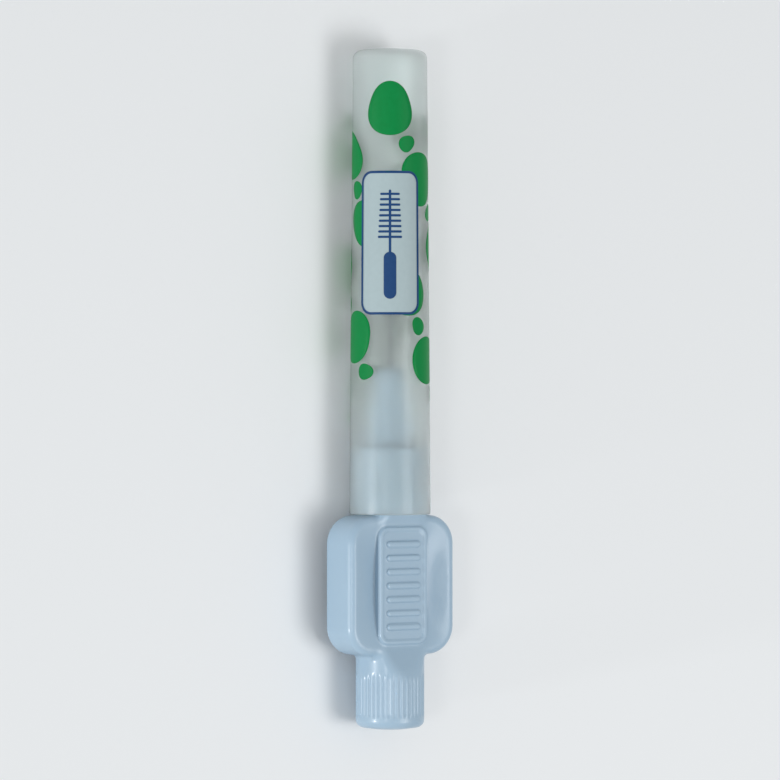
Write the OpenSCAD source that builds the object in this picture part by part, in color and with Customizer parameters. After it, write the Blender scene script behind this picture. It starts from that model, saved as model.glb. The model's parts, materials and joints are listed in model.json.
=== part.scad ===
// Interdental brush with its protective cap on, lying flat.
// The brush axis runs along +Y from the rear end to the tip, and the front face of the thumb plate
// looks up, along +Z. The origin is under the middle of the whole length, on the surface that the
// brush lies on.

/* [Barrels] */
// Diameter of the two round barrels, one on each side of the thumb plate
barrel_d = 7.2; // [6:0.1:9]
// Length of the rear barrel
rear_len = 7.9; // [6:0.1:12]
// Length of the front barrel, which the cap sits on
front_len = 7.4; // [6.5:0.1:12]
// Rounding of each barrel's free edge
barrel_edge = 0.8; // [0.3:0.1:1.2]
// Height of the slight dome on the rear end
rear_dome = 0.25; // [0.1:0.05:0.6]

/* [Flutes] */
// Number of flutes round each barrel
flute_count = 40; // [24:1:44]
// Width of one flute
flute_w = 0.36; // [0.2:0.01:0.4]
// Depth of one flute
flute_depth = 0.06; // [0.04:0.01:0.18]
// Length of the rear barrel's flutes
rear_flute_len = 4.4; // [2:0.1:4.8]
// Length of the front barrel's flutes
front_flute_len = 4.9; // [2:0.1:5]
// Plain band between a barrel's free end and its flutes
flute_end_gap = 1.15; // [0.9:0.05:1.4]

/* [Thumb plate] */
// Length of the plate along the brush
plate_len = 14.6; // [12:0.1:22]
// Width of the plate
plate_w = 13.4; // [11:0.1:18]
// Thickness of the plate at its rim
plate_t = 5.0; // [3.8:0.1:5.8]
// Corner radius of the plate's outline
plate_corner = 3.0; // [1.4:0.1:4]
// Rounding between the plate's faces and its rim
plate_edge = 0.8; // [0.3:0.05:1.2]
// Depth of the thumb dish below the plate's face
dish_depth = 0.9; // [0.4:0.05:1.2]
// Length of the dish, with the ramps that it cuts into the barrels
dish_len = 19.0; // [16:0.1:20]
// Width of the dish's level middle
dish_flat_w = 5.0; // [2:0.1:7]
// Level rim left between the dish and the plate's rounded edge, at mid length
dish_rim = 0.4; // [0.1:0.05:0.8]

/* [Grip pad] */
// Width of the raised pad in the front dish
pad_w = 6.2; // [4:0.1:8]
// Length of the pad
pad_len = 12.5; // [8:0.1:13.5]
// Corner radius of the pad
pad_corner = 1.2; // [0.5:0.1:2]
// Height of the pad's flat top above the bottom of the dish
pad_rise = 0.85; // [0.4:0.05:1.2]
// Width of the raised border round the pad
border_w = 0.4; // [0.2:0.05:0.6]
// Height of the border above the pad
border_h = 0.12; // [0.06:0.02:0.3]
// Distance from the pad's edge in to the border
border_inset = 0.15; // [0.05:0.05:0.4]
// Number of grip bars across the pad
bar_count = 7; // [3:1:9]
// Length of a bar across the pad
bar_len = 4.2; // [2.5:0.1:5]
// Width of a bar
bar_w = 0.6; // [0.4:0.05:0.8]
// Height of a bar above the pad
bar_h = 0.25; // [0.1:0.05:0.5]

/* [Neck] */
// Length of the neck between the front barrel and the brush head
neck_len = 8.2; // [6.5:0.1:14]
// Diameter of the neck at its tip
neck_top_d = 3.55; // [2.5:0.05:4.5]
// Diameter of the neck where it leaves the barrel
neck_base_d = 5.3; // [4.6:0.1:5.4]
// Rounding of the neck's tip
neck_round = 0.75; // [0.3:0.05:1]
// How late the neck flares: 1 is a straight cone
neck_flare = 1.5; // [1:0.1:2.5]

/* [Wire] */
// Diameter of the wire, which is folded in half and twisted
strand_d = 0.26; // [0.15:0.01:0.3]
// Length that one full turn of the twist takes
twist_pitch = 1.36; // [1.2:0.05:2.4]
// Length of the twisted wire held inside the neck
wire_embed = 6.0; // [3:0.1:6.3]
// Bare wire between the neck and the first bristles
wire_bare = 0.2; // [0.15:0.05:1]
// Bare wire beyond the last bristles, with the fold
wire_tip = 0.4; // [0.4:0.05:1]
// Clearance round the twisted wire in its bore
wire_clear = 0.03; // [0.02:0.01:0.1]

/* [Bristles] */
// Length of the bristled head
head_len = 12.8; // [8:0.1:15]
// Diameter of the bristled head
head_d = 4.5; // [2.5:0.1:5.8]
// Thickness of one filament
filament_d = 0.046; // [0.03:0.002:0.06]
// Free space between neighbouring filaments along the wire
filament_gap = 0.018; // [0.012:0.002:0.05]
// Clearance between the filaments and each strand of the wire
clamp_clear = 0.01; // [0.008:0.001:0.03]

/* [Cap] */
// Length of the cap
cap_len = 48.7; // [44:0.1:60]
// Outer diameter of the cap at its closed end
cap_end_d = 7.8; // [7.4:0.05:8.4]
// Wall thickness of the cap
cap_wall = 0.62; // [0.4:0.01:0.8]
// Outer rounding of the closed end
cap_round = 0.9; // [0.4:0.05:1.5]
// Rounding of the mouth's outer edge
cap_lip = 0.2; // [0.1:0.05:0.3]
// Radial clearance between the front barrel and the cap's seat
cap_clear = 0.05; // [0.02:0.01:0.1]
// Step from the seat in to the narrower bore beyond it
cap_step = 0.18; // [0.1:0.01:0.3]
// Gap between the cap's mouth and the thumb plate when the cap is fully on
cap_gap = 0.1; // [0.05:0.05:0.5]

/* [Hidden] */

$fn = 96;
// Overrun of a cut past the surface that it opens
over = 0.5;
// Steps in a rounded corner of a turned profile
round_steps = 6;
// Steps along the neck and the rear dome
neck_steps = 10;
dome_steps = 4;
// Rings in one turn of the wire, sides of the wire, and steps in its fold
rings_a_turn = 10;
wire_sides = 8;
fold_steps = 6;

barrel_r = barrel_d / 2;
plate_start = rear_len;
plate_end = plate_start + plate_len;
barrel_top = plate_end + front_len;
neck_top = barrel_top + neck_len;
head_start = neck_top + wire_bare;
head_end = head_start + head_len;
brush_len = head_end + wire_tip;
cap_start = plate_end + cap_gap;
total_len = cap_start + cap_len;

// The seat bore and the outside of the cap follow the barrel
seat_r = barrel_r + cap_clear;
cap_mouth_r = seat_r + cap_wall;

// The dish is a shallow trough turned about an axis that lies across the brush, high above the plate
dish_floor = plate_t / 2 - dish_depth;
dish_climb = barrel_r - dish_floor;
dish_turn_r = (pow(dish_len / 2, 2) + pow(dish_climb, 2)) / (2 * dish_climb);
dish_side_w = plate_w / 2 - plate_edge - dish_rim - dish_flat_w / 2;
dish_side_r = (pow(dish_side_w, 2) + pow(dish_depth, 2)) / (2 * dish_depth);

// A flute is a round groove of this radius, whose centre stands outside the barrel
flute_r = (pow(flute_w / 2, 2) + pow(flute_depth, 2)) / (2 * flute_depth);
flute_centre = barrel_r - flute_depth + flute_r;

// The two strands of the wire lie on either side of the filaments
strand_gap = filament_d + 2 * clamp_clear;
strand_centre = (strand_d + strand_gap) / 2;
pair_r = strand_centre + strand_d / 2;
wire_start = neck_top - wire_embed;
fold_start = brush_len - pair_r;
filament_pitch = filament_d + filament_gap;
filament_count = floor(head_len / filament_pitch);

// Points on an arc from angle a to angle b
function arc(centre, r, a, b) =
    [for (i = [0 : round_steps])
        let (t = a + (b - a) * i / round_steps)
        centre + r * [cos(t), sin(t)]];

function unit(v) = v / norm(v);

// The direction from the axis to the wire's first strand at a height on the brush
function strand_angle(s) = 360 * (s - wire_start) / twist_pitch;
function strand_dir(s) = [cos(strand_angle(s)), sin(strand_angle(s)), 0];
function filament_dir(s) = [-sin(strand_angle(s)), cos(strand_angle(s)), 0];

// Lays a piece that stands on its rear end, with its front face towards +Y, down along +Y
module lay() {
    translate([0, -total_len / 2, cap_mouth_r])
        rotate([90, 0, 180])
            children();
}

module rounded_rect(w, l, r) {
    square([w, l - 2 * r], center = true);
    square([w - 2 * r, l], center = true);
    for (x = [-1, 1], y = [-1, 1])
        translate([x * (w / 2 - r), y * (l / 2 - r)])
            circle(r);
}

// A bar's outline with round ends, along X
module stadium(l, w) {
    square([l - w, w], center = true);
    for (x = [-1, 1])
        translate([x * (l - w) / 2, 0])
            circle(w / 2);
}

// Half of a slab's cross-section, from x = 0 out to its rounded rim
module rim_section(w, t, edge) {
    translate([0, -t / 2])
        square([w - edge, t]);
    translate([0, edge - t / 2])
        square([w, t - 2 * edge]);
    for (y = [-1, 1])
        translate([w - edge, y * (t / 2 - edge)])
            circle(edge);
}

// A bar with both rims rounded, along Y
module rimmed_bar(w, l, t, edge) {
    rotate([90, 0, 0])
        translate([0, 0, -l / 2])
            linear_extrude(l) {
                rim_section(w / 2, t, edge);
                mirror([1, 0])
                    rim_section(w / 2, t, edge);
            }
}

// A slab with rounded corners and rounded rims, flat in XY
module rounded_slab(w, l, t, corner, edge) {
    rimmed_bar(w, l - 2 * corner, t, edge);
    rotate([0, 0, 90])
        rimmed_bar(l, w - 2 * corner, t, edge);
    for (turn = [0, 180]) {
        rotate([0, 0, turn])
            translate([w / 2 - corner, l / 2 - corner, 0])
                rotate_extrude(angle = 90)
                    rim_section(corner, t, edge);
        rotate([0, 0, turn])
            translate([corner - w / 2, l / 2 - corner, 0])
                rotate([0, 0, 90])
                    rotate_extrude(angle = 90)
                        rim_section(corner, t, edge);
    }
}

// The barrels and the neck, turned in one piece. Inside the plate the barrels taper to the dish's floor.
module turned_body() {
    dome_r = barrel_r - barrel_edge;
    dome = [for (i = [0 : dome_steps])
        let (t = i / dome_steps)
        [dome_r * t, rear_dome * t * t]];
    rear_edge = arc([dome_r, rear_dome + barrel_edge], barrel_edge, -90, 0);
    waist = [[barrel_r, plate_start], [dish_floor, (plate_start + plate_end) / 2], [barrel_r, plate_end]];
    front_edge = arc([dome_r, barrel_top - barrel_edge], barrel_edge, 0, 90);
    flare_len = neck_len - neck_round;
    neck = [for (i = [0 : neck_steps])
        let (t = 1 - i / neck_steps)
        [neck_top_d / 2 + (neck_base_d - neck_top_d) / 2 * pow(t, neck_flare),
         barrel_top + flare_len * (1 - t)]];
    tip = arc([neck_top_d / 2 - neck_round, neck_top - neck_round], neck_round, 0, 90);
    rotate_extrude()
        polygon(concat(dome, rear_edge, waist, front_edge, neck, tip, [[0, neck_top]]));
}

module flutes(start, length) {
    for (i = [0 : flute_count - 1])
        rotate([0, 0, 360 * i / flute_count])
            translate([flute_centre, 0, start])
                cylinder(h = length, r = flute_r, $fn = 24);
}

// The trough's cutter for one face: side is 1 for the front and -1 for the back
module dish(side) {
    arm = dish_turn_r - dish_side_r;
    translate([0, side * (dish_floor + dish_turn_r), (plate_start + plate_end) / 2])
        rotate([0, 90, 0])
            rotate_extrude() {
                translate([0, -dish_flat_w / 2])
                    square([dish_turn_r, dish_flat_w]);
                intersection() {
                    union() {
                        for (y = [-1, 1])
                            translate([arm, y * dish_flat_w / 2])
                                circle(dish_side_r);
                        translate([0, -plate_w / 2])
                            square([arm, plate_w]);
                    }
                    translate([0, -plate_w / 2])
                        square([dish_turn_r, plate_w]);
                }
            }
}

// The pad's outline, drawn in from its edge by an inset
module pad_outline(inset) {
    rounded_rect(pad_w - 2 * inset, pad_len - 2 * inset, max(pad_corner - inset, border_w / 2));
}

// The flat-topped pad with its border and its grip bars, rising from inside the plate
module grip_pad() {
    pad_top = dish_floor + pad_rise;
    bar_pitch = (pad_len - 2 * pad_corner) / bar_count;
    translate([0, 0, (plate_start + plate_end) / 2])
        rotate([-90, 0, 0]) {
            linear_extrude(pad_top)
                pad_outline(0);
            linear_extrude(pad_top + border_h)
                difference() {
                    pad_outline(border_inset);
                    pad_outline(border_inset + border_w);
                }
            for (i = [0 : bar_count - 1])
                translate([0, (i - (bar_count - 1) / 2) * bar_pitch, 0])
                    linear_extrude(pad_top + bar_h)
                        stadium(bar_len, bar_w);
        }
}

module handle() {
    color([0.63, 0.75, 0.84])
        lay()
            difference() {
                union() {
                    difference() {
                        union() {
                            turned_body();
                            translate([0, 0, (plate_start + plate_end) / 2])
                                rotate([90, 0, 0])
                                    rounded_slab(plate_w, plate_len, plate_t, plate_corner, plate_edge);
                        }
                        dish(1);
                        dish(-1);
                    }
                    grip_pad();
                }
                flutes(rear_dome + flute_end_gap, rear_flute_len);
                flutes(barrel_top - flute_end_gap - front_flute_len, front_flute_len);
                translate([0, 0, wire_start])
                    cylinder(h = wire_embed + over, r = pair_r + wire_clear, $fn = 24);
            }
}

// The wire's centre line: up one strand, round the fold and down the other, as [point, outward]
function wire_path() =
    let (climb = fold_start - wire_start,
         rings = ceil(rings_a_turn * climb / twist_pitch),
         heights = [for (i = [0 : rings]) wire_start + climb * i / rings],
         top = strand_dir(fold_start))
    concat(
        [for (s = heights)
            [strand_centre * strand_dir(s) + [0, 0, s], strand_dir(s)]],
        [for (j = [1 : fold_steps - 1])
            let (t = 180 * j / fold_steps, out = top * cos(t) + [0, 0, 1] * sin(t))
            [[0, 0, fold_start] + strand_centre * out, out]],
        [for (i = [rings : -1 : 0])
            let (s = heights[i])
            [-strand_centre * strand_dir(s) + [0, 0, s], -strand_dir(s)]]);

// The corners of one ring of the wire, square to its run, with a flat side towards the axis
function wire_ring(before, here, after, outward) =
    let (along = unit(after - before),
         side = unit(outward - (outward * along) * along),
         across = cross(along, side))
    [for (k = [0 : wire_sides - 1])
        let (t = 360 * (k + 0.5) / wire_sides)
        here + strand_d / 2 * (cos(t) * side + sin(t) * across)];

module twisted_wire() {
    path = wire_path();
    last = len(path) - 1;
    points = [for (i = [0 : last])
        each wire_ring(path[max(i - 1, 0)][0], path[i][0], path[min(i + 1, last)][0], path[i][1])];
    n = wire_sides;
    walls = [for (i = [0 : last - 1], k = [0 : n - 1])
        let (a = i * n + k, b = i * n + (k + 1) % n)
        each [[a, b + n, b], [a, a + n, b + n]]];
    ends = [for (k = [1 : n - 2])
        each [[0, k, k + 1], [last * n, last * n + k + 1, last * n + k]]];
    color([0.27, 0.36, 0.44])
        lay()
            polyhedron(points, concat(walls, ends));

    // The strands come closest where they face each other across the filaments
    turns = [for (p = path) if (p[1][2] == 0) p[0]];
    half = len(turns) / 2;
    near = min([for (i = [0 : half - 1], j = [half : 2 * half - 1]) norm(turns[i] - turns[j])]);
    echo(wire_least_gap = near - strand_d);
}

// The filaments are held in the slit between the strands. They and the layer of them that lies in
// the slit are one form: a thin twisted strip with a filament growing from each cell of both edges.
module bristles() {
    function level(i) = head_start + floor(i / 2) * filament_pitch + (i % 2) * filament_d;
    function corner(s, dir, reach, side, face) =
        side * reach * filament_dir(dir) + face * filament_d / 2 * strand_dir(dir) + [0, 0, s];

    levels = 2 * filament_count;
    order = [[-1, -1], [1, -1], [1, 1], [-1, 1]];
    strip = [for (i = [0 : levels - 1])
        let (s = level(i))
        for (o = order) corner(s, s, pair_r, o[0], o[1])];
    tips = [for (k = [0 : filament_count - 1], side = [-1, 1])
        let (low = level(2 * k), high = level(2 * k + 1), dir = (low + high) / 2)
        each [corner(low, dir, head_d / 2, side, -1), corner(low, dir, head_d / 2, side, 1),
              corner(high, dir, head_d / 2, side, 1), corner(high, dir, head_d / 2, side, -1)]];

    function quad(a, b, c, d) = [[a, b, c], [a, c, d]];
    // Both wide faces of the strip, from end to end
    wide = [for (i = [0 : levels - 2])
        let (a = 4 * i, b = 4 * (i + 1))
        each concat(quad(a, a + 1, b + 1, b), quad(a + 2, a + 3, b + 3, b + 2))];
    // The strip's edges between two filaments
    narrow = [for (k = [0 : filament_count - 2])
        let (a = 8 * k + 4, b = a + 4)
        each concat(quad(a + 1, a + 2, b + 2, b + 1), quad(a + 3, a, b, b + 3))];
    // The four sides and the end of each filament
    strands = [for (k = [0 : filament_count - 1], side = [0, 1])
        let (a = 8 * k, b = a + 4,
             root = side == 0 ? [a, a + 3, b + 3, b] : [a + 1, a + 2, b + 2, b + 1],
             t = 4 * levels + 8 * k + 4 * side,
             sides = [for (j = [0 : 3]) each quad(root[j], root[(j + 1) % 4], t + (j + 1) % 4, t + j)],
             all = concat(sides, quad(t, t + 1, t + 2, t + 3)))
        each side == 1 ? all : [for (f = all) [f[2], f[1], f[0]]]];
    top = 4 * (levels - 1);
    ends = concat(quad(3, 2, 1, 0), quad(top, top + 1, top + 2, top + 3));

    color([0.88, 0.94, 0.92])
        lay()
            polyhedron(concat(strip, tips), concat(wide, narrow, strands, ends));
    echo(bristle_ends = 2 * filament_count);
}

module cap() {
    end_r = cap_end_d / 2;
    inner_end_r = end_r - cap_wall;
    inner_round = max(cap_round - cap_wall, cap_lip);
    seat_len = front_len + cap_gap;
    outside = concat(
        arc([cap_mouth_r - cap_lip, cap_lip], cap_lip, -90, 0),
        arc([end_r - cap_round, cap_len - cap_round], cap_round, 0, 90));
    inside = concat(
        [[0, cap_len], [0, cap_len - cap_wall]],
        arc([inner_end_r - inner_round, cap_len - cap_wall - inner_round], inner_round, 90, 0),
        [[seat_r - cap_step, seat_len + cap_step], [seat_r, seat_len],
         [seat_r, cap_lip], [seat_r + cap_lip, 0]]);
    color([0.80, 0.86, 0.86, 0.45])
        lay()
            translate([0, 0, cap_start])
                rotate_extrude()
                    polygon(concat(outside, inside));
}

handle();
twisted_wire();
bristles();
cap();
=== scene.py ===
import json
import math

import bpy
import numpy as np
from mathutils import Matrix, Vector


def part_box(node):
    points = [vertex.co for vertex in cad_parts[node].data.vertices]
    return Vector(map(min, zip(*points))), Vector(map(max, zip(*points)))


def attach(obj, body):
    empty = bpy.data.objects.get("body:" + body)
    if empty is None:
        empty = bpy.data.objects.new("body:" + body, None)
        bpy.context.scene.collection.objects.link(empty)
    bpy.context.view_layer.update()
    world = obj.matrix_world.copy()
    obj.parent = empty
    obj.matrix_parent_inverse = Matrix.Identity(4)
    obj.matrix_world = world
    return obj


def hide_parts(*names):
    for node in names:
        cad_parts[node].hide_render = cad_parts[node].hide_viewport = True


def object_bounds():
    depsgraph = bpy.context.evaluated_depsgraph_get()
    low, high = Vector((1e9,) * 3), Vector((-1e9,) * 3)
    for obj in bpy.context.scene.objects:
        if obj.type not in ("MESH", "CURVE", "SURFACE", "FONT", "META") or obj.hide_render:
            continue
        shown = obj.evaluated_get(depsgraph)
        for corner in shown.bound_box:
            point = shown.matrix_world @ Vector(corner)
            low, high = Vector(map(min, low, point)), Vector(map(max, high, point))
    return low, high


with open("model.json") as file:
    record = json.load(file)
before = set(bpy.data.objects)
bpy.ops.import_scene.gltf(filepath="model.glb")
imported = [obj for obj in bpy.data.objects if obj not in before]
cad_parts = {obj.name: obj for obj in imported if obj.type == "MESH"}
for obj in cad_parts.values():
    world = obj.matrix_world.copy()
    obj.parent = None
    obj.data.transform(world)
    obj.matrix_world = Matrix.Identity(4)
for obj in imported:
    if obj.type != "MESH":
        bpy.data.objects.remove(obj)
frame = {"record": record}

# An interdental brush with its cap on, lying on a pale table. Lengths are in mm up to the point where
# a mesh is made. On the brush, s runs from the rear end to the tip, n out of the thumb plate's front
# face, and x across the plate.

cadLow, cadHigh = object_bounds()
metres = 0.001
handleLow, handleHigh = (np.array(corner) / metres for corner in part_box("handle"))
wireLow, wireHigh = (np.array(corner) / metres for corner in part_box("twisted_wire"))
headLow, headHigh = (np.array(corner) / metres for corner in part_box("bristles"))
capLow, capHigh = (np.array(corner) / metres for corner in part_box("cap"))

rearEnd = handleLow[1]
axisHeight = (capLow[2] + capHigh[2]) / 2
barrelRadius = frame["record"]["mounts"][0]["dims"]["r_mm"]
print("frame loaded: handle %.1f mm long, cap %.1f mm long" % (
    handleHigh[1] - handleLow[1], capHigh[1] - capLow[1]))


# Meshes

def place(x, s, n):
    # points of the brush in the frame: x across, s from the rear end along +Y, n up from the axis
    return np.stack(np.broadcast_arrays(x, s + rearEnd, n + axisHeight), axis=-1) * metres


def gridShell(points, ends):
    # the corners and the groups of faces of a closed skin over a grid whose columns wrap round. Its
    # rows end in single points ("poles"), in flat faces ("flat"), in strips between a row's two halves
    # ("strips"), or meet again ("joined").
    rows, columns = points.shape[:2]
    corners = points.reshape(-1, 3)
    number = np.arange(rows * columns).reshape(rows, columns)
    closing = []
    if ends == "joined":
        number = np.vstack([number, number[:1]])
    if ends == "flat":
        closing = [number[:1, ::-1], number[-1:]]
    if ends == "strips":
        k = np.arange(columns // 2 - 1)
        strip = np.stack([columns - 1 - k, columns - 2 - k, k + 1, k], axis=1)
        closing = [number[0][strip], number[-1][strip[:, ::-1]]]
    if ends == "poles":
        corners = np.vstack([points[0, :1], points[1:-1].reshape(-1, 3), points[-1, :1]])
        number = number[1:-1] - columns + 1
        first, final = number[0], number[-1]
        closing = [np.stack([np.zeros_like(first), np.roll(first, -1), first], axis=1),
                   np.stack([np.full_like(final, len(corners) - 1), final, np.roll(final, -1)], axis=1)]
    low, high = number[:-1], number[1:]
    quads = np.stack([low, np.roll(low, -1, axis=1), np.roll(high, -1, axis=1), high], axis=-1)
    return corners, [quads.reshape(-1, 4)] + closing


def outward(corners, groups):
    # the volume inside is a sixth of the sum of the triple products of all faces' triangles, which is
    # below zero where the faces look inwards; then they are turned round
    volume = 0
    for faces in groups:
        a, b, c = corners[faces[:, :1]], corners[faces[:, 1:-1]], corners[faces[:, 2:]]
        volume += (a * np.cross(b, c)).sum()
    return groups if volume > 0 else [faces[:, ::-1] for faces in groups]


def makePiece(name, shells, finish, body, replaced=None):
    # one object from closed shells, smooth shaded, on its body
    faces, start = [], 0
    for corners, groups in shells:
        for group in outward(corners, groups):
            faces += (group + start).tolist()
        start += len(corners)
    mesh = bpy.data.meshes.new(name)
    mesh.from_pydata(np.vstack([corners for corners, _ in shells]).tolist(), [], faces)
    mesh.polygons.foreach_set("use_smooth", np.ones(len(mesh.polygons), bool))
    mesh.materials.append(finish.material)
    mesh.update()
    piece = bpy.data.objects.new(name, mesh)
    bpy.context.scene.collection.objects.link(piece)
    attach(piece, body)
    if replaced:
        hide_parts(replaced)
    mesh.calc_loop_triangles()
    print("%s: %d triangles" % (name, len(mesh.loop_triangles)))


# Finishes

class Signal:
    # an output socket of a finish; a sum or a product with it adds a Math node

    def __init__(self, finish, socket):
        self.finish = finish
        self.socket = socket

    def math(self, operation, other):
        return self.finish.add("Math", {"operation": operation}, {0: self, 1: other})

    def __add__(self, other):
        return self.math("ADD", other)

    def __mul__(self, other):
        return self.math("MULTIPLY", other)

    __radd__ = __add__
    __rmul__ = __mul__


class Finish:
    # a material on one Principled BSDF, whose plain values are set on its own sockets

    def __init__(self, name, **values):
        self.material = bpy.data.materials.new(name)
        self.material.use_nodes = True
        self.tree = self.material.node_tree
        self.tree.nodes.clear()
        self.shader = self.tree.nodes.new("ShaderNodeBsdfPrincipled")
        end = self.tree.nodes.new("ShaderNodeOutputMaterial")
        self.tree.links.new(self.shader.outputs[0], end.inputs[0])
        for key, value in values.items():
            self.shader.inputs[key.replace("_", " ")].default_value = value
        self.place = self.add("VectorMath", {"operation": "SCALE"}, {
            0: self.add("TexCoord", output="Object"), "Scale": 1 / metres})

    def add(self, kind, settings=None, inputs=None, output=0):
        # any other node: its type, its settings, and the values or links of its sockets
        node = self.tree.nodes.new("ShaderNode" + kind)
        for key, value in (settings or {}).items():
            setattr(node, key, value)
        for key, value in (inputs or {}).items():
            if isinstance(value, Signal):
                self.tree.links.new(value.socket, node.inputs[key])
            else:
                node.inputs[key].default_value = value
        return Signal(self, node.outputs[output])

    def noise(self, size, detail=2.0):
        # soft noise around 0.5 whose blobs are about that many mm across
        return self.add("TexNoise", {}, {
            "Vector": self.place, "Scale": 1 / size, "Detail": detail}, "Fac")

    def blend(self, share, first, second):
        # the first colour where the share is 0, the second where it is 1
        return self.add("Mix", {"data_type": "RGBA"}, {0: share, 6: first, 7: second}, 2)

    def feed(self, **signals):
        # what changes over the surface goes to the shader's sockets of these names
        for key, signal in signals.items():
            self.tree.links.new(signal.socket, self.shader.inputs[key.replace("_", " ")])

    def bump(self, height, depth, strength):
        # height from 0 to 1 raises the surface by up to that depth in mm
        self.feed(Normal=self.add("Bump", {}, {
            "Height": height, "Distance": depth * metres, "Strength": strength}))


def colour(red, green, blue):
    # a screen colour from 0 to 255 as the linear light that shaders use, by the screen's power curve
    share = np.array([red, green, blue]) / 255
    linear = np.where(share <= 0.04045, share / 12.92, ((share + 0.055) / 1.055) ** 2.4)
    return (*linear, 1.0)


# Camera, table and lights

viewTurn = 34.6
studio = {
    "viewShare": 0.87, "lens": 200.0, "sensor": 36.0, "nearest": 0.01, "farthest": 10.0,
    "table": 2.0, "tableColour": colour(236, 239, 241),
    # each lamp's x, y and z in metres, its side and its power: low at the left, over the brush, and a
    # small one beside the camera
    "lamps": [(-0.55, -0.12, 0.028, 0.045, 1.35), (0.15, -0.13, 0.54, 0.26, 1.3),
              (-0.37, -0.065, 0.34, 0.08, 0.22)],
    "sky": 0.5,
}


def makeCamera(h=studio):
    # square to the brush's length, turned about it so that the plate's left wall shows
    turn = math.radians(viewTurn)
    back = Vector((-math.sin(turn), 0, math.cos(turn)))
    right = Vector((math.cos(turn), 0, math.sin(turn)))
    up = Vector((0, 1, 0))
    length = (cadHigh.y - cadLow.y) / h["viewShare"]
    distance = length / 2 / (h["sensor"] / 2 / h["lens"])
    target = Vector((0, (cadHigh.y + cadLow.y) / 2, axisHeight * metres))
    camera = bpy.data.objects.new("camera", bpy.data.cameras.new("camera"))
    camera.data.lens = h["lens"]
    camera.data.sensor_width = h["sensor"]
    camera.data.clip_start, camera.data.clip_end = h["nearest"], h["farthest"]
    camera.matrix_world = Matrix.Translation(target + back * distance) @ Matrix(
        (right, up, back)).transposed().to_4x4()
    bpy.context.scene.collection.objects.link(camera)
    bpy.context.scene.camera = camera


def makeTable(h=studio):
    # a square of the table's top round the frame's origin
    half = h["table"] / 2
    mesh = bpy.data.meshes.new("table")
    mesh.from_pydata([(-half, -half, 0), (half, -half, 0), (half, half, 0), (-half, half, 0)], [],
                     [(0, 1, 2, 3)])
    finish = Finish("tableTop", Base_Color=h["tableColour"], Roughness=0.9, Specular_IOR_Level=0.2)
    mesh.materials.append(finish.material)
    table = bpy.data.objects.new("table", mesh)
    bpy.context.scene.collection.objects.link(table)


def makeLights(h=studio):
    # soft square lamps that face the middle of the brush, under an even sky
    middle = Vector((0, 0, axisHeight * metres))
    for i, (x, y, z, size, power) in enumerate(h["lamps"]):
        lamp = bpy.data.lights.new("lamp%d" % i, "AREA")
        lamp.size = size
        lamp.energy = power
        holder = bpy.data.objects.new("lamp%d" % i, lamp)
        holder.location = (x, y, z)
        holder.rotation_euler = (middle - holder.location).to_track_quat("-Z", "Y").to_euler()
        bpy.context.scene.collection.objects.link(holder)
    world = bpy.data.worlds.new("sky")
    world.use_nodes = True
    background = world.node_tree.nodes["Background"]
    background.inputs["Color"].default_value = (1, 1, 1, 1)
    background.inputs["Strength"].default_value = h["sky"]
    bpy.context.scene.world = world


makeCamera()
makeTable()
makeLights()
bpy.context.scene.view_settings.view_transform = "Standard"
print("camera, table and lights ready")


# Handle

handleShape = {
    "rearBarrel": 7.9, "plateLength": 14.6, "plateThickness": 5.0, "plateCorner": 3.0, "plateEdge": 0.85,
    "frontBarrel": 7.4, "barrelEdge": 0.8, "rearDome": 0.25, "rootFillet": 0.6,
    "dishDepth": 0.9, "dishLength": 19.0, "dishHalfWidth": 5.5, "dishFlatShare": 0.455,
    "dishSideSlope": 32.4, "dishClimb": 2.3, "dishSquareness": 6.0, "dishRim": 0.45,
    "padWidth": 6.2, "padLength": 12.5, "padCorner": 1.2, "padRise": 0.85, "padEdge": 0.18,
    "padFillet": 0.22, "borderInset": 0.35, "borderWidth": 0.4, "borderHeight": 0.12,
    "borderEdge": 0.07, "borderFillet": 0.12,
    "bars": 7, "barLength": 4.2, "barWidth": 0.6, "barHeight": 0.25, "barEdge": 0.13, "barFillet": 0.1,
    "flutes": 40, "fluteWidth": 0.42, "fluteDepth": 0.1, "fluteEnd": 0.18,
    "rearFlutes": (1.4, 5.8), "frontFlutes": (23.85, 28.75),
    "neckTopRadius": 1.775, "neckBaseRadius": 2.65, "neckFlare": 1.5, "neckRound": 0.75,
    "shoulderFillet": 0.35,
}

plateStart = handleShape["rearBarrel"]
plateEnd = plateStart + handleShape["plateLength"]
plateMiddle = (plateStart + plateEnd) / 2
plateHalf = (handleHigh[0] - handleLow[0]) / 2
barrelTop = plateEnd + handleShape["frontBarrel"]
neckTop = handleHigh[1] - rearEnd


def roundedBox(u, v, halfU, halfV, radius):
    # distance to a rectangle with round corners: outside, the length of what goes past the rectangle
    # shrunk by the radius, and inside, the nearer side, both less the radius
    a = np.abs(u) - halfU + radius
    b = np.abs(v) - halfV + radius
    return np.hypot(np.maximum(a, 0), np.maximum(b, 0)) + np.minimum(np.maximum(a, b), 0) - radius


def softMin(a, b, width):
    # the lower of two distances, filled in by a quarter of the width where they cross
    share = np.clip(0.5 + 0.5 * (b - a) / width, 0, 1)
    return b + (a - b) * share - width * share * (1 - share)


def softMax(a, b, width):
    # the higher of two distances, eased off by a quarter of the width where they cross
    return -softMin(-a, -b, width)


def roundMax(a, b, radius):
    # where two faces meet they are joined by a quarter circle of that radius
    past = np.hypot(np.maximum(a + radius, 0), np.maximum(b + radius, 0))
    return np.minimum(np.maximum(a, b), -radius) + past


def smoothStep(share):
    # a share from 0 to 1 that starts and ends level: three squares less two cubes
    return share * share * (3 - 2 * share)


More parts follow.
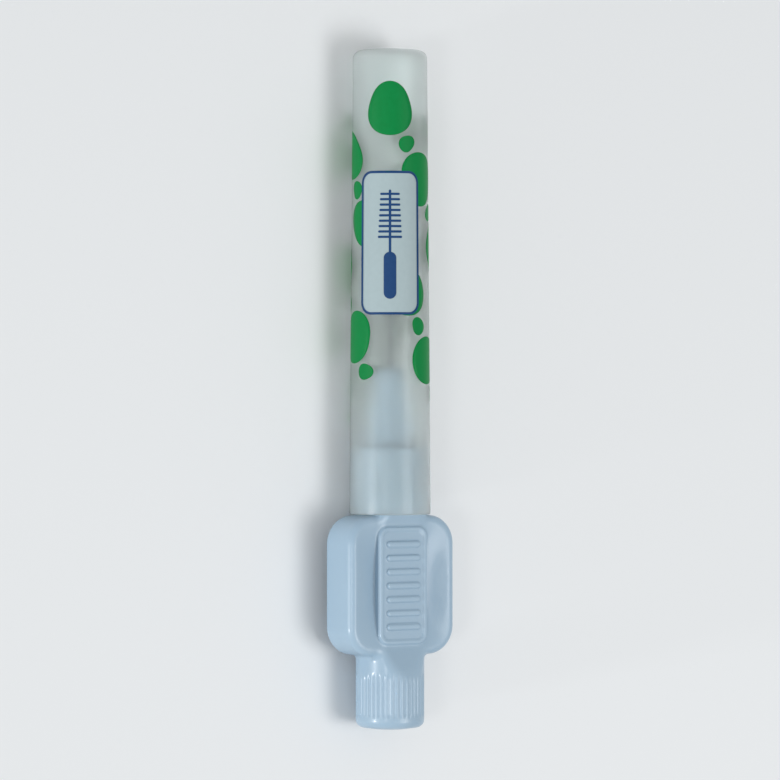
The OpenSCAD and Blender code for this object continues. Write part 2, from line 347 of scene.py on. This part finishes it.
def turnedDistance(r, s, h=handleShape):
    # the barrels are a rounded box turned about the axis with a domed rear end, and the neck is a
    # round that narrows by a power of the way left to its tip
    flatRadius = barrelRadius - h["barrelEdge"]
    dome = np.where(s < plateMiddle, h["rearDome"] * (np.minimum(r, flatRadius) / flatRadius) ** 2, 0)
    barrels = roundedBox(r, s - dome - barrelTop / 2, barrelRadius, barrelTop / 2, h["barrelEdge"])
    flareLength = neckTop - h["neckRound"] - barrelTop
    flare = np.clip(1 - (s - barrelTop) / flareLength, 0, 1) ** h["neckFlare"]
    neckRadius = h["neckTopRadius"] + (h["neckBaseRadius"] - h["neckTopRadius"]) * flare
    neck = np.maximum(roundMax(r - neckRadius, s - neckTop, h["neckRound"]), plateMiddle - s)
    return softMin(barrels, neck, h["shoulderFillet"])


def plateDistance(x, t, n, h=handleShape):
    # a slab with round corners and round edges, t from its middle
    edge = h["plateEdge"]
    outline = roundedBox(x, t, plateHalf - edge, h["plateLength"] / 2 - edge, h["plateCorner"] - edge)
    through = np.abs(n) - h["plateThickness"] / 2 + edge
    return (np.hypot(np.maximum(outline, 0), np.maximum(through, 0))
            + np.minimum(np.maximum(outline, through), 0) - edge)


def dishSurface(x, t, h=handleShape):
    # the dish's height from the axis: a floor that climbs by a power of t from the plate's middle into
    # the barrels, and sides that rise as arcs, then straight
    level = h["plateThickness"] / 2
    floorLevel = level - h["dishDepth"]
    climb = barrelRadius - floorLevel
    floor = floorLevel + climb * np.abs(t / (h["dishLength"] / 2)) ** h["dishClimb"]
    reach = h["dishLength"] / 2 * (h["dishDepth"] / climb) ** (1 / h["dishClimb"])
    along = np.clip(np.abs(t) / reach, 0, 1)
    halfWidth = h["dishHalfWidth"] * (1 - along ** h["dishSquareness"]) ** (1 / h["dishSquareness"])
    across = np.abs(x) / np.maximum(halfWidth, 1e-3)
    side = np.maximum(across - h["dishFlatShare"], 0) / (1 - h["dishFlatShare"])
    slope = math.radians(h["dishSideSlope"])
    steep = math.sin(slope) * math.tan(slope) / (1 - math.cos(slope))
    arc = (1 - np.sqrt(1 - (np.minimum(side, 1) * math.sin(slope)) ** 2)) / (1 - math.cos(slope))
    rise = arc + steep * np.maximum(side - 1, 0)
    return floor + np.maximum(level - floor, 0) * rise


def addPad(body, x, t, n, h=handleShape):
    # the grip pad, the border that follows its outline, and the row of bars, each with round edges
    # and a small fillet at its foot
    padTop = h["plateThickness"] / 2 - h["dishDepth"] + h["padRise"]
    padOutline = roundedBox(x, t, h["padWidth"] / 2, h["padLength"] / 2, h["padCorner"])
    pad = roundMax(padOutline, n - padTop, h["padEdge"])
    body = softMin(body, np.maximum(pad, -n), h["padFillet"])
    border = np.abs(padOutline + h["borderInset"]) - h["borderWidth"] / 2
    border = roundMax(border, n - padTop - h["borderHeight"], h["borderEdge"])
    body = softMin(body, np.maximum(border, -n), h["borderFillet"])
    pitch = (h["padLength"] - 2 * h["padCorner"]) / h["bars"]
    nearest = np.clip(np.round(t / pitch), -(h["bars"] // 2), h["bars"] // 2) * pitch
    beyond = np.maximum(np.abs(x) - (h["barLength"] - h["barWidth"]) / 2, 0)
    bar = roundMax(np.hypot(beyond, t - nearest) - h["barWidth"] / 2, n - padTop - h["barHeight"],
                   h["barEdge"])
    return softMin(body, np.maximum(bar, -n), h["barFillet"])


def cutFlutes(body, x, s, n, h=handleShape):
    # a flute is a cosine groove across, and it starts and ends in short ramps
    turn = np.arctan2(n, x) / (2 * math.pi) * h["flutes"]
    offCentre = (turn + 0.5) % 1 - 0.5
    grooveShare = h["fluteWidth"] * h["flutes"] / (2 * math.pi * barrelRadius)
    groove = 0.5 + 0.5 * np.cos(2 * math.pi * np.clip(offCentre / grooveShare, -0.5, 0.5))
    window = 0
    for start, stop in (h["rearFlutes"], h["frontFlutes"]):
        window = window + (np.clip((s - start) / h["fluteEnd"], 0, 1)
                           * np.clip((stop - s) / h["fluteEnd"], 0, 1))
    fluted = np.maximum(body, np.hypot(x, n) - barrelRadius + h["fluteDepth"] * groove * window)
    return np.where(window > 0, fluted, body)


def handleDistance(x, s, n, h=handleShape):
    # below zero inside the moulding: the turned shape joined with the plate, less a dish in each
    # face, with the pad, less the flutes
    t = s - plateMiddle
    body = softMin(turnedDistance(np.hypot(x, n), s), plateDistance(x, t, n), h["rootFillet"])
    body = softMax(body, np.abs(n) - dishSurface(x, t), h["dishRim"])
    return cutFlutes(addPad(body, x, t, n), x, s, n)


# Where the rays that find the handle's surface start, how they tilt and how many there are. A stop of a
# turn gives the tilt in degrees and the rings since the stop before. On the plate and at the shoulder it
# begins with the start's distance in mm from the plate's middle, or from the front barrel's end.
handleRays = {
    "around": 320, "longest": 14.0,
    "rearStart": 4.6, "rearTurn": [(-90, 0), (-50, 8), (-28, 14), (0, 10)], "rearRings": 10,
    "plateTurn": [(0, 0, 18), (1.5, 3, 18), (2.5, 12, 18), (3.15, 25, 16), (3.5, 35, 8), (3.85, 45, 14),
                  (8.95, 0, 20)],
    "shoulderTurn": [(-4.7, 45, 10), (-2.6, 45, 16), (2.1, 0, 12)],
    "tipStart": 1.6, "tipTurn": [(0, 8), (25, 4), (60, 11), (90, 5)],
    "plateMargin": 1.5, "plateEase": 4.0, "outlineSteps": 7200,
    "padCrowd": 0.6, "padCrowdEdge": 0.2, "borderCrowd": 1.6, "borderMiddle": 0.25, "borderReach": 0.45,
    "padSide": 0.3, "padEase": 3.0, "behind": 0.24, "ahead": 0.3, "step": 0.02,
    "halvings": 15, "lastHalvings": 10,
}


def rayRows(h=handleRays):
    # each row's start on the axis and its tilt, evenly spread between the stops. The tilt turns evenly
    # at the brush's ends, and by even steps of its tangent on the plate, where rows would else fold back.
    plate = h["plateTurn"]
    stops = [(plateStart - h["rearStart"], tilt, rings) for tilt, rings in h["rearTurn"]]
    stops += [(plateMiddle - plate[-1][0], 0, h["rearRings"])]
    stops += [(plateMiddle - offset, -tilt, rings)
              for (offset, tilt, _), (_, _, rings) in zip(plate[-2:0:-1], plate[:1:-1])]
    stops += [(plateMiddle + offset, tilt, rings) for offset, tilt, rings in plate]
    stops += [(barrelTop + offset, tilt, rings) for offset, tilt, rings in h["shoulderTurn"]]
    stops += [(neckTop - h["tipStart"], tilt, rings) for tilt, rings in h["tipTurn"]]
    starts, tilts, rings = np.array(stops).T
    position = np.cumsum(rings)
    rows = np.arange(position[-1] + 1)
    start = np.interp(rows, position, starts)
    turning = np.interp(rows, position, np.radians(tilts))
    tangents = np.tan(np.radians(np.clip(tilts, -80, 80)))
    slanting = np.arctan(np.interp(rows, position, tangents))
    tilt = np.where(np.abs(start - plateMiddle) < plate[-1][0], slanting, turning)
    return start[:, None], tilt[:, None]


def rayAngles(start, h=handleRays, shape=handleShape):
    # on the barrels the rays are even in angle, so each flute has eight. On the plate they are even
    # along its rectangular outline, closer over the pad and closest beside its border.
    even = np.arange(h["around"]) / h["around"]
    fine = np.linspace(0, 2 * math.pi, h["outlineSteps"] + 1)
    with np.errstate(divide="ignore"):
        outline = np.minimum(plateHalf / np.abs(np.cos(fine)),
                             shape["plateThickness"] / 2 / np.abs(np.sin(fine)))
    run = np.hypot(np.diff(outline), (outline[1:] + outline[:-1]) / 2 * np.diff(fine))
    fromPad = np.abs(outline * np.cos(fine)) - shape["padWidth"] / 2
    fromPad = np.where(np.sin(fine) > 0, fromPad, plateHalf)[1:]
    run = run * (1 + h["padCrowd"] * (fromPad < h["padCrowdEdge"])
                 + h["borderCrowd"] * (np.abs(fromPad + h["borderMiddle"]) < h["borderReach"]))
    run = np.concatenate([[0], np.cumsum(run)])
    onPlate = np.interp(even, run / run[-1], fine)
    beforeEdge = plateEnd + h["plateMargin"] - plateMiddle - np.abs(start - plateMiddle)
    share = smoothStep(np.clip(beforeEdge / h["plateEase"], 0, 1))
    return (1 - share) * even * 2 * math.pi + share * onPlate, share


def straightenRows(tilt, angle, share, h=handleRays, shape=handleShape):
    # over the pad a row's tilt falls with the sine of the angle, so that the row runs straight across
    slant = np.abs(np.sin(angle))
    across = np.abs(np.cos(angle)) * shape["plateThickness"] / 2 / np.maximum(slant, 1e-6)
    beside = smoothStep(np.clip((across - shape["padWidth"] / 2 - h["padSide"]) / h["padEase"], 0, 1))
    return np.arctan(np.tan(tilt) * (1 - share * (1 - beside) * (1 - slant)))


def handlePoints(h=handleRays):
    # each ray leaves the axis at its row's start, by its tilt and its angle round the brush. Halving the
    # stretch that holds the surface finds where it leaves the moulding.
    start, tilt = rayRows()
    angle, share = rayAngles(start)
    tilt = straightenRows(tilt, angle, share)

    def along(reach):
        # the places that far along the rays
        out = reach * np.cos(tilt)
        return out * np.cos(angle), start + reach * np.sin(tilt), out * np.sin(angle)

    def halve(near, far, times):
        # the middle replaces the near end where it is inside the moulding, or else the far end
        for _ in range(times):
            reach = (near + far) / 2
            inside = handleDistance(*along(reach)) < 0
            near, far = np.where(inside, reach, near), np.where(inside, far, reach)
        return near

    # A slanting ray can cross a bar's edge three times, so the outermost crossing nearby is taken
    found = halve(np.zeros(angle.shape), np.full(angle.shape, h["longest"]), h["halvings"])
    near = found
    for offset in np.arange(-h["behind"], h["ahead"], h["step"]):
        near = np.where(handleDistance(*along(found + offset)) < 0, found + offset, near)
    return place(*along(halve(near, near + h["step"], h["lastHalvings"])))


def handlePlastic():
    # satin moulded plastic: a faint drift of tone, and a very fine grain
    finish = Finish("handlePlastic", Coat_Weight=0.22, Coat_Roughness=0.16, IOR=1.48,
                    Subsurface_Weight=0.12, Subsurface_Scale=0.0012, Subsurface_Radius=(0.8, 0.9, 1.0))
    drift = finish.noise(5.0, 3.0)
    grain = finish.noise(0.16, 3.0)
    finish.feed(Base_Color=finish.blend(drift, colour(151, 177, 197), colour(160, 185, 204)),
                Roughness=0.3 + 0.12 * finish.noise(1.6, 3.0) + 0.06 * grain)
    finish.bump(grain, 0.006, 0.4)
    return finish


makePiece("moulded_handle", [gridShell(handlePoints(), "poles")], handlePlastic(), "brush",
          "handle")


# Twisted wire

wireShape = {"strand": 0.26, "gap": 0.066, "pitch": 1.36, "turnRings": 24, "foldRings": 14, "sides": 14}


def twistAngle(s, h=wireShape):
    # the strands make a whole turn in each pitch of the way along the wire
    return 2 * math.pi * (s - (wireLow[1] - rearEnd)) / h["pitch"]


def wirePoints(h=wireShape):
    # up one strand of the helix, over half a circle at the tip, and down the other strand; a ring is
    # a circle square to the path
    centre = (h["strand"] + h["gap"]) / 2
    start = wireLow[1] - rearEnd
    fold = wireHigh[1] - rearEnd - centre - h["strand"] / 2
    up = np.linspace(start, fold, int((fold - start) / h["pitch"] * h["turnRings"]))
    swing = np.linspace(0, math.pi, h["foldRings"] + 2)[1:-1]
    s = np.concatenate([up, fold + centre * np.sin(swing), up[::-1]])
    reach = np.concatenate([np.full(len(up), centre), centre * np.cos(swing), np.full(len(up), -centre)])
    angle = twistAngle(np.minimum(s, fold))
    path = np.stack([-reach * np.cos(angle), s, reach * np.sin(angle)], axis=1)
    along = np.gradient(path, axis=0)
    along /= np.linalg.norm(along, axis=1)[:, None]
    outer = np.stack([-np.cos(angle) * reach, np.maximum(s - fold, 0), np.sin(angle) * reach], axis=1)
    outer -= np.sum(outer * along, axis=1)[:, None] * along
    outer /= np.linalg.norm(outer, axis=1)[:, None]
    across = np.cross(along, outer)
    turn = (np.arange(h["sides"]) / h["sides"] * 2 * math.pi)[None, :, None]
    ring = np.cos(turn) * outer[:, None] + np.sin(turn) * across[:, None]
    points = path[:, None] + h["strand"] / 2 * ring
    return place(points[..., 0], points[..., 1], points[..., 2])


def coatedWire():
    # steel under a dark slate coat, slightly uneven
    finish = Finish("coatedWire", Metallic=0.25, Coat_Weight=0.35, Coat_Roughness=0.25)
    wear = finish.noise(0.35, 3.0)
    finish.feed(Base_Color=finish.blend(wear, colour(52, 84, 108), colour(76, 110, 134)),
                Roughness=0.3 + 0.2 * wear)
    finish.bump(finish.noise(0.05, 2.0), 0.004, 0.5)
    return finish


makePiece("wire_strands", [gridShell(wirePoints(), "flat")], coatedWire(), "brush",
          "twisted_wire")


# Filaments

headShape = {
    "count": 640, "thickness": 0.05, "rings": 9, "sides": 4, "uneven": 0.05, "sway": 0.07,
    "ringSpread": 0.8, "calmEnd": 0.15, "seed": 4,
}


def filamentShells(h=headShape):
    # each filament runs through the axis across the twist, from one tip to the other. It leans and
    # bends by a random share of the square of its run, along the wire and round it.
    draw = np.random.default_rng(h["seed"])
    start, stop = headLow[1] - rearEnd, headHigh[1] - rearEnd
    radius = (headHigh[0] - headLow[0]) / 2
    count = h["count"]
    pitch = (stop - start - h["thickness"]) / (count - 1)
    base = start + h["thickness"] / 2 + np.arange(count) * pitch
    run = np.linspace(-1, 1, h["rings"])
    run = np.sign(run) * np.abs(run) ** h["ringSpread"]
    length = radius - np.abs(draw.normal(0, h["uneven"], (2, count)))
    reach = run[None, :] * np.where(run[None, :] < 0, length[0][:, None], length[1][:, None])
    lean = draw.normal(0, h["sway"], (2, 2, count))
    bow = np.where(run[None, None, :] < 0, lean[:, 0, :, None], lean[:, 1, :, None]) * run ** 2
    calm = np.clip(np.minimum(base - start, stop - base), 0, h["calmEnd"])[:, None] / h["calmEnd"]
    s = base[:, None] + bow[0] * calm
    angle = twistAngle(base)[:, None] + math.pi / 2 + bow[1] / radius
    out = np.stack([-np.cos(angle), np.zeros_like(angle), np.sin(angle)], axis=-1)
    side = np.stack([np.sin(angle), np.zeros_like(angle), np.cos(angle)], axis=-1)
    centre = out * reach[..., None] + np.stack([np.zeros_like(s), s, np.zeros_like(s)], axis=-1)
    turn = np.arange(h["sides"]) / h["sides"] * 2 * math.pi
    thin = h["thickness"] / 2
    points = (centre[:, :, None] + thin * np.cos(turn)[:, None] * np.array([0, 1, 0])
              + thin * np.sin(turn)[:, None] * side[:, :, None])
    points = place(points[..., 0], points[..., 1], points[..., 2])
    return [gridShell(filament, "flat") for filament in points]


def filamentNylon():
    # clear whitish nylon with a little milk in it
    finish = Finish("filamentNylon", IOR=1.53, Roughness=0.35, Alpha=0.45)
    finish.feed(Base_Color=finish.blend(finish.noise(0.8), colour(240, 247, 246), colour(250, 254, 253)))
    return finish


makePiece("nylon_filaments", filamentShells(), filamentNylon(), "brush", "bristles")


# Cap

capShape = {
    "wall": 0.62, "endRadius": 3.9, "endRound": 0.9, "lip": 0.2, "seatClearance": 0.05,
    "seatLength": 7.5, "step": 0.18, "innerRound": 0.35, "around": 160,
}


def arcPoints(centreR, centreS, radius, start, stop, count):
    # places on a circle in the cap's half section, between two angles in degrees
    turn = np.radians(np.linspace(start, stop, count))
    return np.stack([centreR + radius * np.cos(turn), centreS + radius * np.sin(turn)], axis=1)


def capRadius(s, h=capShape):
    # the outside tapers evenly from the mouth to the closed end's rounding
    mouth, end = capLow[1] - rearEnd + h["lip"], capHigh[1] - rearEnd - h["endRound"]
    return np.interp(s, [mouth, end], [(capHigh[0] - capLow[0]) / 2, h["endRadius"]])


def capPoints(h=capShape):
    # a profile of lines and arcs turned about the axis: the outside from the middle of the closed end
    # to the mouth, then the seat, its step and the bore, back to the middle of the closed end
    mouth, end = capLow[1] - rearEnd, capHigh[1] - rearEnd
    mouthRadius = (capHigh[0] - capLow[0]) / 2
    seatRadius = barrelRadius + h["seatClearance"]
    seatEnd = mouth + h["seatLength"]
    boreRadius = seatRadius - h["step"]
    innerEnd = h["endRadius"] - h["wall"]
    cornerRadius, cornerS = h["endRadius"] - h["endRound"], end - h["endRound"]
    boreEnd = end - h["wall"] - h["innerRound"]
    profile = np.vstack([
        np.linspace((0, end), (cornerRadius, end), 8)[:-1],
        arcPoints(cornerRadius, cornerS, h["endRound"], 90, 0, 14),
        np.linspace((h["endRadius"], cornerS), (mouthRadius, mouth + h["lip"]), 30)[1:-1],
        arcPoints(mouthRadius - h["lip"], mouth + h["lip"], h["lip"], 0, -90, 6),
        np.linspace((seatRadius + h["lip"], mouth), (seatRadius, mouth + h["lip"]), 2),
        np.linspace((seatRadius, mouth), (seatRadius, seatEnd), 8)[1:],
        np.linspace((boreRadius, seatEnd + h["step"]), (innerEnd, boreEnd), 24)[:-1],
        arcPoints(innerEnd - h["innerRound"], boreEnd, h["innerRound"], 0, 90, 8),
        np.linspace((innerEnd - h["innerRound"], end - h["wall"]), (0, end - h["wall"]), 8)[1:],
    ])
    turn = np.arange(h["around"]) / h["around"] * 2 * math.pi
    return place(profile[:, :1] * np.cos(turn), profile[:, 1:], profile[:, :1] * np.sin(turn))


def frostedPlastic():
    # milky clear plastic whose fine grain blurs what is behind it
    finish = Finish("frostedPlastic", Transmission_Weight=0.86, IOR=1.45, Alpha=0.77, Coat_Weight=0.2,
                    Coat_Roughness=0.22)
    cloud = finish.noise(4.0, 3.0)
    grain = finish.noise(0.14, 2.0)
    finish.feed(Base_Color=finish.blend(cloud, colour(241, 251, 250), colour(247, 253, 252)),
                Roughness=0.34 + 0.1 * finish.noise(1.2, 3.0) + 0.06 * grain)
    finish.bump(grain, 0.008, 0.5)
    return finish


makePiece("frosted_cap", [gridShell(capPoints(), "poles")], frostedPlastic(), "cap", "cap")


# Print on the cap

# The print's middle is the place along the brush where its lengths across are true
filmShape = {"height": 0.012, "lift": 0.004, "across": 12, "middle": 51.0}


def inkShell(left, right, level, h=filmShape, ends="strips"):
    # a thin film between two edges. An edge is a row of (arc length, s) places round the print's middle
    # line, and the film is wrapped on the cap with its outer face that many ink heights up.
    share = np.linspace(0, 1, h["across"])
    columns = np.concatenate([share, share[::-1]])
    flat = left[:, None] + (right - left)[:, None] * columns[None, :, None]
    up = np.concatenate([np.full(len(share), level), np.full(len(share), level - 1)])
    radius = capRadius(flat[..., 1]) + h["lift"] + h["height"] * up[None, :]
    angle = flat[..., 0] / capRadius(h["middle"]) - math.radians(viewTurn)
    return gridShell(place(radius * np.sin(angle), flat[..., 1], radius * np.cos(angle)), ends)


def ink(name, first, second):
    # printed ink, a little uneven in tone and gloss
    finish = Finish(name, Specular_IOR_Level=0.15)
    density = finish.noise(0.5, 4.0)
    finish.feed(Base_Color=finish.blend(density, first, second), Roughness=0.38 + 0.12 * density)
    return finish


# Pebbles

pebbleShape = {
    "start": 64.9, "step": 2.377, "turn": 137.5, "count": 16, "size": 5.3, "dotSize": 1.8, "lowest": 31.6,
    "twoSwells": 0.07, "threeSwells": 0.05, "firstSweep": 0.02, "rows": 36,
}


def pebble(arc, s, size, turn, h=pebbleShape):
    # a blob whose radius swells twice and three times round
    def edge(sweep):
        # places on the outline, by the angle from the brush's axis
        radius = size / 2 * (1 + h["twoSwells"] * np.cos(2 * (sweep - turn))
                             + h["threeSwells"] * np.cos(3 * (sweep + turn)))
        return np.stack([arc + radius * np.sin(sweep), s + radius * np.cos(sweep)], axis=1)
    sweep = np.linspace(h["firstSweep"], math.pi - h["firstSweep"], h["rows"])
    return inkShell(edge(-sweep), edge(sweep), 1)


def pebbleShells(panel, h=pebbleShape):
    # pebbles climb round the cap by the golden angle, and a dot stands between each two, half a turn
    # further. What the panel hides is left out.
    shells = []
    girth = 2 * math.pi * capRadius(filmShape["middle"])
    for i in range(h["count"]):
        for half, size in ((0, h["size"]), (0.5, h["dotSize"])):
            s = h["start"] - h["step"] * (i + half)
            turn = h["turn"] * (i + half) + 360 * half
            arc = ((turn / 360 + 0.5) % 1 - 0.5) * girth
            hidden = (abs(arc) + size / 2 < panel["width"] / 2
                      and abs(s - filmShape["middle"]) + size / 2 < panel["length"] / 2)
            if s - size / 2 >= h["lowest"] and not hidden:
                shells.append(pebble(arc, s, size, i))
    return shells


# Panel and its border

panelShape = {
    "length": 15.0, "width": 6.6, "corner": 1.3, "line": 0.26, "smallestCorner": 0.05, "borderSteps": 16,
    "longestStep": 0.5, "firstTurn": 0.06, "cornerRows": 12, "sideRows": 28,
}


def borderEdge(inset, h=panelShape):
    # the panel's outline: four quarter circles joined by straight sides
    halfA, halfS = h["width"] / 2 - inset, h["length"] / 2 - inset
    corner = max(h["corner"] - inset, h["smallestCorner"])
    steps = h["borderSteps"]
    turn = np.linspace(0, 2 * math.pi, 4 * steps, endpoint=False) + math.pi / 4 / steps
    a = np.sign(np.sin(turn)) * (halfA - corner) + corner * np.sin(turn)
    s = np.sign(np.cos(turn)) * (halfS - corner) + corner * np.cos(turn)
    return denser(np.stack([a, filmShape["middle"] + s], axis=1))


def denser(edge, h=panelShape):
    # a closed outline with more places along its straight runs: each run is cut into equal steps
    run = np.roll(edge, -1, axis=0) - edge
    count = np.ceil(np.linalg.norm(run, axis=1) / h["longestStep"]).astype(int)
    which = np.repeat(np.arange(len(edge)), count)
    cut = np.arange(len(which)) - np.repeat(np.cumsum(count) - count, count)
    return edge[which] + run[which] * cut[:, None] / count[which][:, None]


def panelShell(h=panelShape):
    # a plate between its left and right edges, from the low end to the high end
    halfA, halfS, corner = h["width"] / 2, h["length"] / 2, h["corner"]
    turn = np.linspace(h["firstTurn"], math.pi / 2, h["cornerRows"])
    low = np.stack([halfA - corner + corner * np.sin(turn), corner - halfS - corner * np.cos(turn)],
                   axis=1)
    side = np.linspace(-halfS + corner, halfS - corner, h["sideRows"])[1:-1]
    right = np.vstack([low, np.stack([np.full(len(side), halfA), side], axis=1), low[::-1] * [1, -1]])
    middle = np.array([0, filmShape["middle"]])
    return inkShell(right * [-1, 1] + middle, right + middle, 2)


# Brush sign on the panel

signShape = {
    "gripStart": -5.2, "gripEnd": -1.6, "gripWidth": 1.3, "stemEnd": 5.4, "stemWidth": 0.26,
    "strokes": 9, "firstStroke": 0.6, "strokeStep": 0.56, "strokeHalf": 1.15, "strokeTaper": 0.03,
    "strokeWidth": 0.24, "firstTurn": 0.08, "endRows": 8, "runRows": 14,
}


def stroke(a0, s0, a1, s1, width, h=signShape):
    # a straight line with round ends: its half width follows a quarter circle at each end
    start, stop = np.array([a0, s0]), np.array([a1, s1])
    along = (stop - start) / np.linalg.norm(stop - start)
    side = np.array([along[1], -along[0]])
    turn = np.linspace(h["firstTurn"], math.pi / 2, h["endRows"])
    back, half = np.stack([-np.cos(turn), np.sin(turn)])[..., None] * width / 2
    run = start + (stop - start) * np.linspace(0, 1, h["runRows"])[1:-1, None]
    centre = np.vstack([start + back * along, run, stop - back[::-1] * along])
    half = np.vstack([half, np.full((len(run), 1), width / 2), half[::-1]])
    return inkShell(centre - half * side, centre + half * side, 3)


def signShells(h=signShape):
    # a plain drawing of a small brush: a handle bar, a thin stem and a row of cross strokes
    middle = filmShape["middle"]
    shells = [stroke(0, middle + h["gripStart"], 0, middle + h["gripEnd"], h["gripWidth"]),
              stroke(0, middle + h["gripEnd"], 0, middle + h["stemEnd"], h["stemWidth"])]
    for i in range(h["strokes"]):
        half = h["strokeHalf"] - h["strokeTaper"] * i
        s = middle + h["firstStroke"] + h["strokeStep"] * i
        shells.append(stroke(-half, s, half, s, h["strokeWidth"]))
    return shells


greenInk = ink("greenInk", colour(0, 122, 58), colour(0, 132, 66))
makePiece("print_pebbles", pebbleShells(panelShape), greenInk, "cap")
paleInk = ink("paleInk", colour(160, 178, 182), colour(168, 185, 189))
makePiece("print_panel", [panelShell()], paleInk, "cap")
blueInk = ink("blueInk", colour(26, 62, 108), colour(34, 70, 118))
borderShell = inkShell(borderEdge(0), borderEdge(panelShape["line"]), 3, ends="joined")
makePiece("print_border", [borderShell], blueInk, "cap")
makePiece("print_sign", signShells(), blueInk, "cap")
